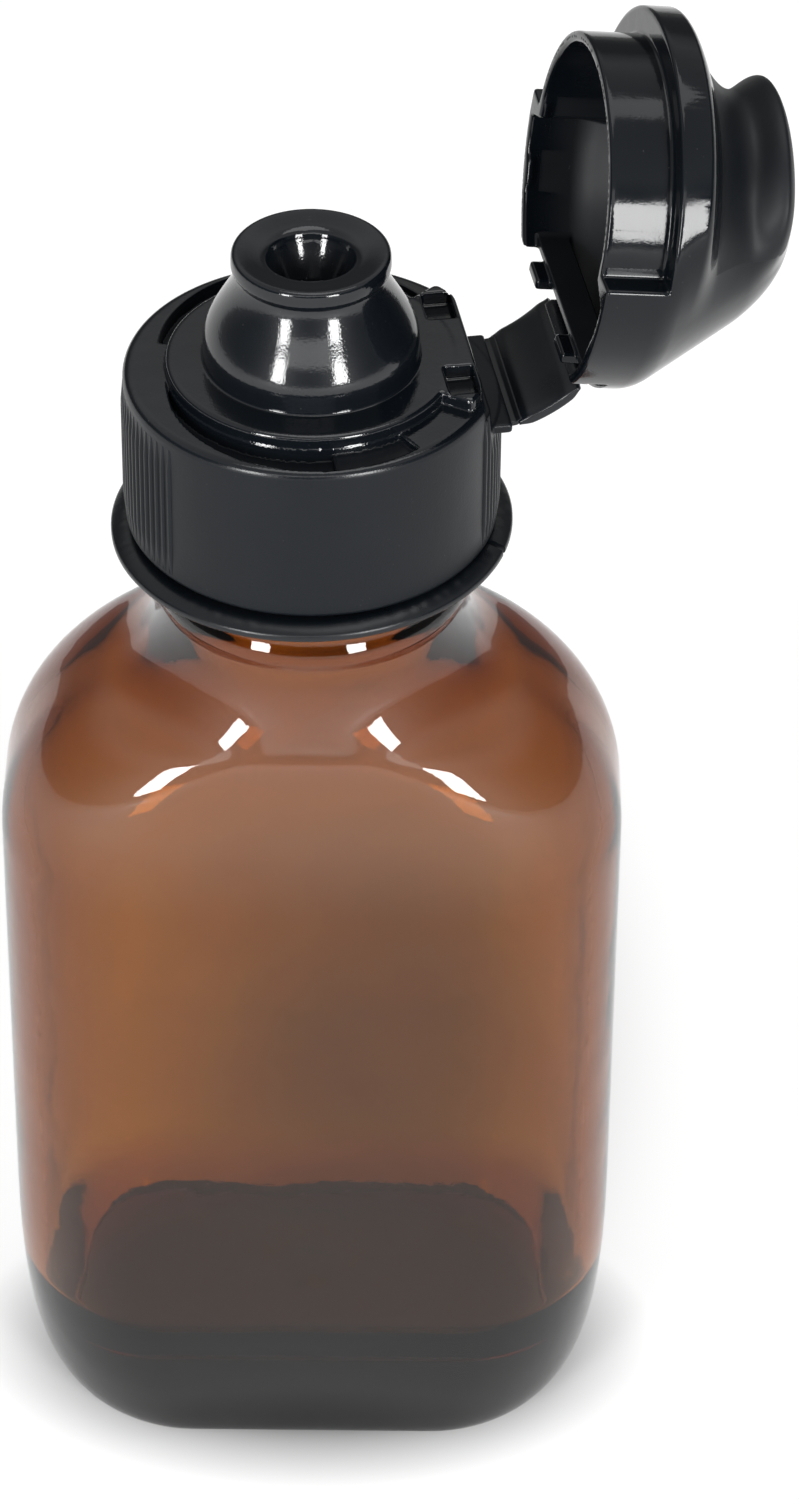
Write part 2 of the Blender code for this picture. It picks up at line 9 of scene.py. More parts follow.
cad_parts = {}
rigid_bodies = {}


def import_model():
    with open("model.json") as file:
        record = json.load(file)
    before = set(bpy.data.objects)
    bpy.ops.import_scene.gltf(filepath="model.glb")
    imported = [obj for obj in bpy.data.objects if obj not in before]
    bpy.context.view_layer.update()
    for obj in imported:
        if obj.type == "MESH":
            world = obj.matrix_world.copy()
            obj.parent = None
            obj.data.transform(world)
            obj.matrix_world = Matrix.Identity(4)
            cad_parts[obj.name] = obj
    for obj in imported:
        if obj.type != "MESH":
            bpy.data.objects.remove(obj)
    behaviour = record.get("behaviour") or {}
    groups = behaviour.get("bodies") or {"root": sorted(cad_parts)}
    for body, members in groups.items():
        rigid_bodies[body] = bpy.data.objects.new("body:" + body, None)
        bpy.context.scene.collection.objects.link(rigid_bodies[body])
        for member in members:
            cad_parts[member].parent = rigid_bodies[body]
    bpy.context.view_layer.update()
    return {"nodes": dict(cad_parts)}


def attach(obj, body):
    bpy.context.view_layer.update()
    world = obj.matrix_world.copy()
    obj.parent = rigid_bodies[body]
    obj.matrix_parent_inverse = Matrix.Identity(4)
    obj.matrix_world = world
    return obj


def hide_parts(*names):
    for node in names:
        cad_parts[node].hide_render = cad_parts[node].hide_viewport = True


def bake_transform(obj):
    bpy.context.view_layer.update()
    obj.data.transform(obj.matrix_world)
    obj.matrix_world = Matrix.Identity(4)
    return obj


for old in list(bpy.data.objects):
    bpy.data.objects.remove(old, do_unlink=True)

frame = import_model()
nodes = frame["nodes"]
scene = bpy.context.scene
scene.view_settings.view_transform = "Standard"
mm = 0.001
print("frame loaded:", ", ".join(sorted(nodes)))


# camera, high in front of the broad face
view = {
    "target": (7.28, 0.0, 67.34),
    "distance": 468.9,
    "pitch": 38.21,
    "roll": -0.55,
    "lens": 134.712,
    "sensor": 36.0,
    "nearest": 10.0,
}


def placeCamera():
    pitch = math.radians(view["pitch"])
    roll = math.radians(view["roll"])
    ahead = Vector((0, math.cos(pitch), -math.sin(pitch)))
    across = Vector((1, 0, 0))
    down = ahead.cross(across)
    right = math.cos(roll) * across + math.sin(roll) * down
    below = math.cos(roll) * down - math.sin(roll) * across
    lens = bpy.data.cameras.new("frontCamera")
    lens.sensor_fit = "VERTICAL"
    lens.sensor_height = view["sensor"]
    lens.lens = view["lens"]
    lens.clip_start = view["nearest"] * mm
    made = bpy.data.objects.new("frontCamera", lens)
    scene.collection.objects.link(made)
    turn = Matrix((right, -below, -ahead)).transposed().to_4x4()
    spot = (Vector(view["target"]) - view["distance"] * ahead) * mm
    made.matrix_world = Matrix.Translation(spot) @ turn
    scene.camera = made


placeCamera()
print("camera placed")


# shader helpers
def newMaterial(name):
    made = bpy.data.materials.new(name)
    made.use_nodes = True
    tree = made.node_tree
    return made, tree, tree.nodes["Principled BSDF"]


def addNode(tree, kind, values=None, **settings):
    made = tree.nodes.new("ShaderNode" + kind)
    for key, value in settings.items():
        setattr(made, key, value)
    for key, value in (values or {}).items():
        made.inputs[key].default_value = value
    return made


# a socket takes a link or a plain value
def feed(tree, socket, value):
    if isinstance(value, bpy.types.NodeSocket):
        tree.links.new(value, socket)
    else:
        socket.default_value = value


def noiseField(tree, place, scale, detail=3.0, rough=0.5):
    made = addNode(tree, "TexNoise", {"Scale": scale, "Detail": detail, "Roughness": rough})
    tree.links.new(place, made.inputs["Vector"])
    return made.outputs["Fac"]


def rescale(tree, value, low, high, newLow, newHigh):
    limits = {"From Min": low, "From Max": high, "To Min": newLow, "To Max": newHigh}
    made = addNode(tree, "MapRange", limits)
    tree.links.new(value, made.inputs["Value"])
    return made.outputs["Result"]


def combine(tree, how, first, second):
    made = addNode(tree, "Math", operation=how)
    tree.links.new(first, made.inputs[0])
    tree.links.new(second, made.inputs[1])
    return made.outputs[0]


def vectorStep(tree, how, value, by=(0, 0, 0)):
    made = addNode(tree, "VectorMath", {1: by}, operation=how)
    tree.links.new(value, made.inputs[0])
    return made.outputs["Value" if how == "LENGTH" else "Vector"]


def mixValues(tree, share, first, second):
    made = addNode(tree, "Mix")
    for number, value in ((0, share), (2, first), (3, second)):
        feed(tree, made.inputs[number], value)
    return made.outputs[0]


def mixColours(tree, share, first, second):
    made = addNode(tree, "Mix", data_type="RGBA")
    tree.links.new(share, made.inputs[0])
    for number, colour in ((6, first), (7, second)):
        feed(tree, made.inputs[number], (*colour, 1) if isinstance(colour, tuple) else colour)
    return made.outputs[2]


def bumpOn(tree, shader, height, strength, distance, under=None):
    made = addNode(tree, "Bump", {"Strength": strength, "Distance": distance})
    tree.links.new(height, made.inputs["Height"])
    if under:
        tree.links.new(under, made.inputs["Normal"])
    tree.links.new(made.outputs["Normal"], shader.inputs["Normal"])
    return made.outputs["Normal"]


def noiseBump(tree, shader, place, scale, detail, strength, distance, under=None):
    height = noiseField(tree, place, scale, detail)
    return bumpOn(tree, shader, height, strength, distance, under)


def objectPlace(tree):
    return addNode(tree, "TexCoord").outputs["Object"]


def heightOf(tree, place):
    split = addNode(tree, "SeparateXYZ")
    tree.links.new(place, split.inputs[0])
    return split.outputs["Z"]


# a soft second shine that comes and goes with height
def softLobe(tree, shader, place, heights, weight, rough):
    z = heightOf(tree, place)
    rise = rescale(tree, z, heights[0] * mm, heights[1] * mm, 0.0, weight)
    fall = rescale(tree, z, heights[2] * mm, heights[3] * mm, 1.0, 0.0)
    tree.links.new(combine(tree, "MULTIPLY", rise, fall), shader.inputs["Coat Weight"])
    shader.inputs["Coat Roughness"].default_value = rough


# amber glass
glassLook = {
    "absorbed": (0.807, 0.63, 0.0),
    "density": 1400.0,
    "ior": 1.5,
    "rough": (0.0, 0.016),
    "shine": 0.28,
    "haze": ((61.0, 69.0, 80.0, 86.0), 0.9, 0.6),  # heights, weight, roughness
    "smear": (90, 4),
    "smearSpan": (0.35, 0.75),
    "waves": (110, 2, 0.25, 0.0004),  # scale, detail, strength, depth
    "grain": (900, 3, 0.08, 0.0001),
}


def makeGlassLook():
    style = glassLook
    made, tree, shader = newMaterial("amberGlass")
    place = objectPlace(tree)
    shader.inputs["Base Color"].default_value = (1, 1, 1, 1)
    shader.inputs["Transmission Weight"].default_value = 1.0
    shader.inputs["IOR"].default_value = style["ior"]
    shader.inputs["Specular IOR Level"].default_value = style["shine"]
    smear = noiseField(tree, place, *style["smear"])
    rough = rescale(tree, smear, *style["smearSpan"], *style["rough"])
    tree.links.new(rough, shader.inputs["Roughness"])
    wave = noiseBump(tree, shader, place, *style["waves"])
    noiseBump(tree, shader, place, *style["grain"], wave)
    softLobe(tree, shader, place, *style["haze"])
    tint = addNode(tree, "VolumeAbsorption")
    tint.inputs["Color"].default_value = (*style["absorbed"], 1)
    tint.inputs["Density"].default_value = style["density"]
    tree.links.new(tint.outputs["Volume"], tree.nodes["Material Output"].inputs["Volume"])
    return made


# black mouldings, piece by piece and then what they share
blackLook = {
    "cap": {
        "tone": 0.0050, "rough": (0.33, 0.42), "grain": 0.22, "shine": 0.22,
        "glossAbove": 105.75, "gloss": (0.05, 0.08), "glossShine": 0.5,
        "haze": ((108.2, 109.2, 115.0, 116.0), 0.2, 0.4),
    },
    "lid": {
        "tone": 0.0045, "rough": (0.07, 0.13), "grain": 0.10, "shine": 0.28,
        "inside": (0.45, 0.55),
    },
    "strap": {"tone": 0.0045, "rough": (0.26, 0.36), "grain": 0.14, "shine": 0.40},
    "band": {"tone": 0.0045, "rough": (0.22, 0.34), "grain": 0.16, "shine": 0.40},
    "shared": {
        "cloud": (170, 4), "cloudSpan": (0.3, 0.7),
        "dim": (0.6, 0.85, 1.2), "pale": (0.9, 1.25, 1.7),
        "dust": (2400, 2, 0.6), "dustSpan": (0.72, 0.80), "dustMost": 0.6,
        "dustTone": (0.05, 0.05, 0.05),
        "fine": (5200, 2), "fineDepth": 0.00004, "broad": (260, 2, 0.10, 0.0003),
        "glossBlend": 0.3,
    },
}


def makeBlackLook(piece):
    style, shared = blackLook[piece], blackLook["shared"]
    made, tree, shader = newMaterial(piece + "Black")
    place = objectPlace(tree)
    cloud = noiseField(tree, place, *shared["cloud"])

    def clouded(span):
        return rescale(tree, cloud, *shared["cloudSpan"], *span)

    dim, pale = (tuple(style["tone"] * part for part in shared[key]) for key in ("dim", "pale"))
    base = mixColours(tree, cloud, dim, pale)
    specks = noiseField(tree, place, *shared["dust"])
    dust = rescale(tree, specks, *shared["dustSpan"], 0.0, shared["dustMost"])
    tree.links.new(mixColours(tree, dust, base, shared["dustTone"]), shader.inputs["Base Color"])
    rough = clouded(style["rough"])
    shader.inputs["Specular IOR Level"].default_value = style["shine"]
    if "inside" in style:  # the hollow side is duller than the skin
        hollow = addNode(tree, "Attribute", attribute_name="inside")
        rough = mixValues(tree, hollow.outputs["Fac"], rough, clouded(style["inside"]))
    if "glossAbove" in style:  # polished deck and nozzle over a satin skirt
        level, blend = style["glossAbove"] * mm, shared["glossBlend"] * mm
        polished = rescale(tree, heightOf(tree, place), level - blend, level + blend, 0.0, 1.0)
        rough = mixValues(tree, polished, rough, clouded(style["gloss"]))
        shine = rescale(tree, polished, 0.0, 1.0, style["shine"], style["glossShine"])
        tree.links.new(shine, shader.inputs["Specular IOR Level"])
        softLobe(tree, shader, place, *style["haze"])
    tree.links.new(rough, shader.inputs["Roughness"])
    fine = noiseBump(tree, shader, place, *shared["fine"], style["grain"], shared["fineDepth"])
    noiseBump(tree, shader, place, *shared["broad"], fine)
    return made


# foamed sealing ring
foamLook = {
    "cells": 2200,
    "tones": ((0.62, 0.62, 0.59), (0.80, 0.80, 0.77)),
    "cloud": 300,
    "cloudSpan": (0.3, 0.7),
    "rough": (0.6, 0.8),
    "dent": (0.5, 0.0001),
}


def makeFoamLook():
    style = foamLook
    made, tree, shader = newMaterial("linerFoam")
    place = objectPlace(tree)
    cells = addNode(tree, "TexVoronoi", {"Scale": style["cells"]})
    tree.links.new(place, cells.inputs["Vector"])
    depth = cells.outputs["Distance"]
    tree.links.new(mixColours(tree, depth, *style["tones"]), shader.inputs["Base Color"])
    cloud = noiseField(tree, place, style["cloud"])
    rough = rescale(tree, cloud, *style["cloudSpan"], *style["rough"])
    tree.links.new(rough, shader.inputs["Roughness"])
    bumpOn(tree, shader, depth, *style["dent"])
    return made


amberGlass = makeGlassLook()
capBlack = makeBlackLook("cap")
lidBlack = makeBlackLook("lid")
strapBlack = makeBlackLook("strap")
bandBlack = makeBlackLook("band")
linerFoam = makeFoamLook()
print("finishes mixed")

# the sealing ring keeps its solid and only gets its finish
linerSlots = nodes["neck_liner"].data.materials
linerSlots.clear()
linerSlots.append(linerFoam)


# mesh helpers
def tubesToMesh(name, tubes, look, sharp=None):
    bm = bmesh.new()
    for rings in tubes:
        rows = [[bm.verts.new(point) for point in ring] for ring in rings]
        for low, high in zip(rows, rows[1:]):
            for i in range(len(low)):
                j = (i + 1) % len(low)
                bm.faces.new((low[i], low[j], high[j], high[i]))
        bm.faces.new(list(reversed(rows[0])))
        bm.faces.new(rows[-1])
    bmesh.ops.recalc_face_normals(bm, faces=bm.faces)
    mesh = bpy.data.meshes.new(name)
    bm.to_mesh(mesh)
    bm.free()
    mesh.shade_smooth()
    if sharp:
        mesh.set_sharp_from_angle(angle=math.radians(sharp))
    mesh.materials.append(look)
    made = bpy.data.objects.new(name, mesh)
    scene.collection.objects.link(made)
    return made


def moveRings(rings, place):
    return [[(place @ point) * mm for point in ring] for ring in rings]


def spread(first, last, steps):
    return [first + (last - first) * i / steps for i in range(steps + 1)]


def ease(t):
    t = min(max(t, 0.0), 1.0)
    return t * t * (3 - 2 * t)


# glass bottle
bottle = {
    "halfWidth": 25.95,
    "halfDepth": 15.0,
    "corner": 12.2,
    "shoulderZ": 62.0,
    "shoulderRise": 16.0,
    "faceHold": 0.7,  # under 1, the broad faces stay upright longer than the ends
    "heelHeight": 25.0,
    "heelPower": 2.8,
    "heelEnd": 7.6,
    "heelFace": 2.9,
    "pushUp": 0.9,
    "pushUpRings": (0.05, 0.3, 0.6, 0.8, 0.9),
    "pushUpFade": (0.3, 0.6),
    "wall": 2.2,
    "floorZ": 8.7,
    "floorHalf": (20.6, 11.2),
    "floorCorner": 7.6,
    "floorTop": 13.6,
    "floorLead": 3.0,
    "floorCone": ((0.7, 1.9), (0.93, 0.8), (1.0, 0.0), (1.2, 0.0)),  # share drawn in, height
    "floorDome": 0.35,
    "floorRings": (0.9, 0.6, 0.3),
    "markRings": ((0.12, 0.0), (0.1, 0.18), (0.03, 0.18)),  # share, height of the round mark
    "markWide": 1.8,
    "neck": 12.5,
    "bore": 9.8,
    "flare": 4.8,
    "top": 102.6,
    "lipRound": 0.7,
    "beadZ": 92.7,
    "beadLead": (0.5, 0.4),
    "beadRise": (0.3, 0.4),
    "beadFall": (1.2, 0.7),
    "beadProud": 1.1,
    "ring": (86.3, 1.5, 0.45),
    "ringSoft": 0.8,
    "threadZ": 97.0,
    "threadPitch": 4.23,
    "threadTurns": 0.95,
    "threadHeight": 1.2,
    "threadHalf": 0.78,
    "threadSoft": 0.5,
    "threadFade": 0.1,
    "ripple": 0.12,
    "rippleScale": (0.075, 0.19),
    "rippleSecond": 0.4,
    "rippleClear": 8.0,
    "rippleFade": 20.0,
    "around": 36,
}


# every ring has the same count, so that one can be skinned to the next
def ovalRing(halfWidth, halfDepth, corner, z):
    side, face, bend = halfDepth - corner, halfWidth - corner, corner * math.pi / 2
    quarter = side + bend + face
    ring = []
    for i in range(4 * bottle["around"]):
        turn, along = divmod(i, bottle["around"])
        along = quarter * along / bottle["around"]
        if turn % 2:
            along = quarter - along
        if along < side:
            x, y = halfWidth, along
        elif along < side + bend:
            a = (along - side) / corner
            x, y = face + corner * math.cos(a), side + corner * math.sin(a)
        else:
            x, y = quarter - along, halfDepth
        ring.append([x * (1, -1, -1, 1)[turn], y * (1, 1, -1, -1)[turn], z])
    return ring


def roundRing(radius, z):
    return ovalRing(radius, radius, radius, z)


def heelShare(z):
    power = bottle["heelPower"]
    return 1 - (1 - max(0.0, 1 - z / bottle["heelHeight"]) ** power) ** (1 / power)


# a quarter of an ellipse, then an arc that flares into the neck
def shoulderRings(halfWidth, halfDepth, corner, rise, neck):
    swell, flare = halfWidth - neck, bottle["flare"]
    last = math.acos(flare / swell)
    steps = []
    for a in spread(0, last, 26):
        steps.append((swell * math.cos(a), bottle["shoulderZ"] + rise * math.sin(a)))
    top = steps[-1][1]
    lean = math.atan2(rise * math.cos(last), swell * math.sin(last))
    sweep = flare / (1 - math.sin(lean))
    for a in spread(lean, math.pi / 2, 12)[1:]:
        extra = flare - sweep * (math.sin(a) - math.sin(lean))
        steps.append((extra, top + sweep * (math.cos(lean) - math.cos(a))))
    rings = []
    for extra, z in steps:
        share = extra / swell
        late = max(share, 0.0) ** bottle["faceHold"]
        deep = neck + (halfDepth - neck) * late
        rings.append(ovalRing(neck + extra, deep, neck + (corner - neck) * share, z))
    return rings


def neckRing(z):
    b = bottle
    ring = roundRing(b["neck"], z)
    rise, fall = b["beadRise"], b["beadFall"]
    bead = ease((z - b["beadZ"] + rise[0]) / rise[1]) * ease((b["beadZ"] + fall[0] - z) / fall[1])
    ringZ, ringHalf, ringProud = b["ring"]
    raised = ringProud * ease((ringHalf - abs(z - ringZ)) / (b["ringSoft"] * ringHalf))
    proud = max(bead * b["beadProud"], raised)
    for point in ring:
        turn = (math.atan2(point[1], point[0]) / (2 * math.pi)) % 1.0
        offset = abs(z - b["threadZ"] - b["threadPitch"] * turn)
        fade = ease(turn / b["threadFade"]) * ease((b["threadTurns"] - turn) / b["threadFade"])
        thread = b["threadHeight"] * fade * ease((b["threadHalf"] - offset) / b["threadSoft"])
        grow = 1 + max(proud, thread) / b["neck"]
        point[0] *= grow
        point[1] *= grow
    return ring


def outerRings():
    b = bottle
    rings = []
    for share in b["pushUpRings"]:  # shallow push-up under the base
        rise = b["pushUp"] * (1 - ease((share - b["pushUpFade"][0]) / b["pushUpFade"][1]))
        wide = (b["halfWidth"] - b["heelEnd"]) * share
        deep = (b["halfDepth"] - b["heelFace"]) * share
        rings.append(ovalRing(wide, deep, (b["corner"] - b["heelFace"]) * share, rise))
    for a in spread(0.0, math.pi / 2, 24):
        z = b["heelHeight"] * (1 - math.cos(a))
        wide = b["halfWidth"] - b["heelEnd"] * heelShare(z)
        face = b["heelFace"] * heelShare(z)
        rings.append(ovalRing(wide, b["halfDepth"] - face, b["corner"] - face, z))
    body = (b["halfWidth"], b["halfDepth"], b["corner"])
    rings += [ovalRing(*body, z) for z in spread(b["heelHeight"], b["shoulderZ"], 12)[1:-1]]
    rings += shoulderRings(*body, b["shoulderRise"], b["neck"])
    start = rings[-1][0][2]
    under, over = (b["beadZ"] - lead for lead in b["beadLead"])
    rings += [neckRing(z) for z in spread(start, under, 34)[1:]]
    rings += [neckRing(z) for z in spread(over, b["top"] - b["lipRound"], 44)]
    for a in spread(0.0, math.pi / 2, 4)[1:]:
        radius = b["neck"] - b["lipRound"] * (1 - math.cos(a))
        rings.append(roundRing(radius, b["top"] - b["lipRound"] * (1 - math.sin(a))))
    return rings


# each round takes a quarter off both ends of every straight piece
def cutCorners(path, rounds):
    for _ in range(rounds):
        cut = [path[0]]
        for p, q in zip(path, path[1:]):
            cut += [(p[0] + (q[0] - p[0]) * t, p[1] + (q[1] - p[1]) * t) for t in (0.25, 0.75)]
        path = cut + [path[-1]]
    return path


def innerRings():
    b = bottle
    rings = []
    for a in spread(math.pi / 2, 0.0, 4):
        radius = b["bore"] + b["lipRound"] * (1 - math.cos(a))
        rings.append(roundRing(radius, b["top"] - b["lipRound"] * (1 - math.sin(a))))
    wide, deep, corner = (b[key] - b["wall"] for key in ("halfWidth", "halfDepth", "corner"))
    shoulder = shoulderRings(wide, deep, corner, b["shoulderRise"] - b["wall"], b["bore"])
    neckFoot = shoulder[-1][0][2]
    for z in spread(b["top"] - b["lipRound"], neckFoot, 6)[1:-1]:
        rings.append(roundRing(b["bore"], z))
    rings += reversed(shoulder)
    lead = b["floorTop"] + b["floorLead"]
    rings += [ovalRing(wide, deep, corner, z) for z in spread(b["shoulderZ"], lead, 24)[1:-1]]
    path = [(0.0, lead), (0.0, b["floorTop"])]
    path += [(share, b["floorZ"] + z) for share, z in b["floorCone"]]
    for share, z in cutCorners(path, 3):  # the wall draws in and turns tightly into the floor
        halfWidth = wide + (b["floorHalf"][0] - wide) * share
        halfDepth = deep + (b["floorHalf"][1] - deep) * share
        bend = corner + (b["floorCorner"] - corner) * share
        rings.append(ovalRing(halfWidth, halfDepth, bend, z))
    for share in b["floorRings"]:
        z = b["floorZ"] + b["floorDome"] * (1 - share * share)
        bend = min(halfDepth * share, b["floorCorner"] * share)
        rings.append(ovalRing(halfWidth * share, halfDepth * share, bend, z))
    for share, raised in b["markRings"]:  # small round mark in the middle of the floor
        rise = b["floorDome"] * (1 - share * share) + raised
        rings.append(roundRing(halfDepth * share * b["markWide"], b["floorZ"] + rise))
    return rings


# moulded glass is never even on the inside
def addRipple(rings):
    b = bottle
    start = b["top"] - b["rippleClear"]
    slow, quick = b["rippleScale"]
    for point in (point for ring in rings for point in ring if point[2] < start):
        swell = noise.noise(Vector(point) * slow)
        swell += b["rippleSecond"] * noise.noise(Vector(point) * quick + Vector((7, 3, 1)))
        push = b["ripple"] * swell * ease((start - point[2]) / b["rippleFade"])
        reach = math.hypot(point[0], point[1])
        if reach > 1.0:
            point[0] *= 1 + push / reach
            point[1] *= 1 + push / reach


def makeBottle():
    inside = innerRings()
    addRipple(inside)
    rings = [[[c * mm for c in point] for point in ring] for ring in outerRings() + inside]
    made = tubesToMesh("bottleGlass", [rings], amberGlass)
    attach(made, "bottle")
    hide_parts("glass_bottle")


makeBottle()
print("glass bottle blown")


# distance fields, in millimetres: the last value of softMax and softMin is the edge's rounding
def softMax(first, second, soft):
    near = np.maximum(soft - np.abs(first - second), 0) / soft
    return np.maximum(first, second) + near * near * soft / 4


def softMin(first, second, soft):
    return -softMax(-first, -second, soft)


def softStep(value):
    value = np.clip(value, 0, 1)
    return value * value * (3 - 2 * value)


def inBox(x, y, z, low, high, soft):
    sides = [softMax(lo - at, at - hi, soft) for at, lo, hi in zip((x, y, z), low, high)]
    return softMax(softMax(sides[0], sides[1], soft), sides[2], soft)


def slopeOf(field, points, step=0.02):
    slope = np.zeros_like(points)
    for axis in range(3):
        shift = np.zeros(3)
        shift[axis] = step
        slope[:, axis] = (field(*(points + shift).T) - field(*(points - shift).T)) / (2 * step)
    return slope


# draws points onto the field's surface
def settle(field, points, farthest=0.2):
    for _ in range(2):
        slope = slopeOf(field, points)
        size = np.maximum((slope * slope).sum(1), 0.05)
        move = np.clip(field(*points.T) / size, -farthest, farthest)
        points = points - slope * move[:, None]
    return points


# one point in each cell that the surface crosses, one quad around each crossed edge
def skinField(field, low, high, step):
    axes = [np.arange(lo, hi + step, step) for lo, hi in zip(low, high)]
    value = field(*np.meshgrid(*axes, indexing="ij"))
    cells = np.array(value.shape) - 1
    total = np.zeros((*cells, 3))
    count = np.zeros(cells)
    crossings = []
    for axis in range(3):
        head = [slice(None)] * 3
        tail = [slice(None)] * 3
        head[axis], tail[axis] = slice(0, -1), slice(1, None)
        start, end = value[tuple(head)], value[tuple(tail)]
        cross = (start < 0) != (end < 0)
        share = np.where(cross, start / np.where(cross, start - end, 1), 0)
        crossings.append((cross, start < 0))
        one, two = (axis + 1) % 3, (axis + 2) % 3
        for i in (0, 1):
            for j in (0, 1):
                part = [slice(None)] * 3
                part[one] = slice(i, cells[one] + i)
                part[two] = slice(j, cells[two] + j)
                hit = cross[tuple(part)]
                count += hit
                total[..., axis] += share[tuple(part)]
                total[..., one] += hit * i
                total[..., two] += hit * j
    used = count > 0
    number = np.full(cells, -1)
    number[used] = np.arange(used.sum())
    points = (np.argwhere(used) + total[used] / count[used][:, None]) * step + np.array(low)
    quads = []
    for axis, (cross, inward) in enumerate(crossings):
        one, two = (axis + 1) % 3, (axis + 2) % 3
        place = np.argwhere(cross)
        a, b = np.eye(3, dtype=int)[one], np.eye(3, dtype=int)[two]
        corner = [number[tuple((place - shift).T)] for shift in (a + b, b, 0 * a, a)]
        ring = np.stack(corner, 1)
        flip = ~inward[tuple(place.T)]
        ring[flip] = ring[flip][:, ::-1]
        quads.append(ring)
    return settle(field, points), np.concatenate(quads)


def mouldPiece(name, field, piece, toPlace, look, inside=None):
    points, quads = skinField(field, *piece["box"], piece["cell"])
    mesh = bpy.data.meshes.new(name + "Raw")
    mesh.from_pydata(points.tolist(), [], quads.tolist())
    raw = bpy.data.objects.new(name + "Raw", mesh)
    scene.collection.objects.link(raw)
    thin = raw.modifiers.new("thin", "DECIMATE")
    thin.ratio = piece["keep"]
    ready = raw.evaluated_get(bpy.context.evaluated_depsgraph_get())
    mesh = bpy.data.meshes.new_from_object(ready)
    bpy.data.objects.remove(raw)
    made = bpy.data.objects.new(name, mesh)
    scene.collection.objects.link(made)
    flat = np.zeros(len(mesh.vertices) * 3)
    mesh.vertices.foreach_get("co", flat)
    points = settle(field, flat.reshape(-1, 3))
    normals = slopeOf(field, points)
    normals /= np.maximum(np.linalg.norm(normals, axis=1), 1e-9)[:, None]
    if inside:
        mark = mesh.attributes.new("inside", "FLOAT", "POINT")
        mark.data.foreach_set("value", inside(*points.T).astype(np.float32))
    turn = np.array(toPlace.to_3x3())
    points = points @ turn.T + np.array(toPlace.translation)
    mesh.vertices.foreach_set("co", (points * mm).ravel())
    mesh.update()
    mesh.shade_smooth()
    mesh.normals_split_custom_set_from_vertices((normals @ turn.T).tolist())
    mesh.materials.clear()
    mesh.materials.append(look)
    print(name, "skinned with", len(mesh.polygons), "faces")
    return made


# screw cap: skirt, deck and pouring nozzle
cap = {
    "yaw": 10.0,
    "radius": 15.0,
    "foot": 92.3,
    "rim": 106.1,
    "bore": 14.0,
    "boreTop": 101.3,
    "seat": 12.9,
    "ceiling": 104.2,
    "plateau": 11.6,
    "plateauFoot": 103.0,
    "plateauTop": 107.16,
    "landAngle": 36.5,
    "landRadius": 14.3,
    "flank": (8.6, 108.81, 6.0, 115.4),
    "flankEnd": 0.6,
    "lip": (6.3, 115.7, 116.9),
    "lipUnder": (0.35, 5.6),
    "dish": (0.35, 6.2, 2.6),
    "funnel": ((109.0, 1.25), (110.8, 1.25), (113.0, 2.0), (115.6, 3.2), (116.6, 3.6)),
    "chamber": ((103.5, 7.6), (104.2, 7.6), (110.8, 5.25), (114.1, 4.7)),
    "spout": (110.2, 1.1),
    "ledge": (12.7, 104.75),
    "rearFlat": (13.3, 103.2),
    "stub": ((13.1, -6.5, 102.35), (15.1, 6.5, 103.18)),
    "recess": (11.73, 2.67),
    "recessDeep": (79.0, 168.0, 1.2),
    "recessStep": (51.0, 83.0, 0.6),
    "recessTurn": 12.0,
    "recessReach": 0.21,  # millimetres for each degree round the deck
    "recessGap": 0.1,
    "pockets": ((10.0, 5.3 - 1.9, 105.86), (12.3, 5.3 + 1.9, 110.0)),
    "threadZ": 95.63,
    "threadTurns": 1.2,
    "threadHeight": 1.15,
    "threadSoft": 0.45,
    "box": ((-15.6, -15.6, 91.8), (15.8, 15.6, 117.4)),
    "cell": 0.2,
    "keep": 0.34,
}
capTurn = Matrix.Rotation(math.radians(cap["yaw"]), 4, "Z")


def threadRidge(azimuth, z):
    ridge = np.zeros_like(z)
    for wrap in (0, 1):
        along = (azimuth / (2 * np.pi)) % 1.0 + wrap
        fade = np.minimum(along, cap["threadTurns"] - along) / bottle["threadFade"]
        offset = np.abs(z - cap["threadZ"] - bottle["threadPitch"] * along)
        height = (bottle["threadHalf"] - offset) / cap["threadSoft"]
        ridge = np.maximum(ridge, np.clip(fade, 0, 1) * np.clip(height, 0, 1))
    return ridge


def nozzleField(r, z):
    c = cap
    wide, low, narrow, high = c["flank"]
    flank = r - wide + (wide - narrow) * softStep((z - low) / (high - low))
    bell = softMax(flank * 0.85, z - high - c["flankEnd"], 0.3)
    lipRadius, lipLow, lipTop = c["lip"]
    sink, sinkFrom, sinkOver = c["dish"]
    top = z - lipTop + sink * softStep((sinkFrom - r) / sinkOver)
    slope, slopeFrom = c["lipUnder"]
    under = lipLow - z - slope * np.clip(r - slopeFrom, 0, 1)
    return bell, softMax(softMax(r - lipRadius, top, 0.5), under, 0.4)


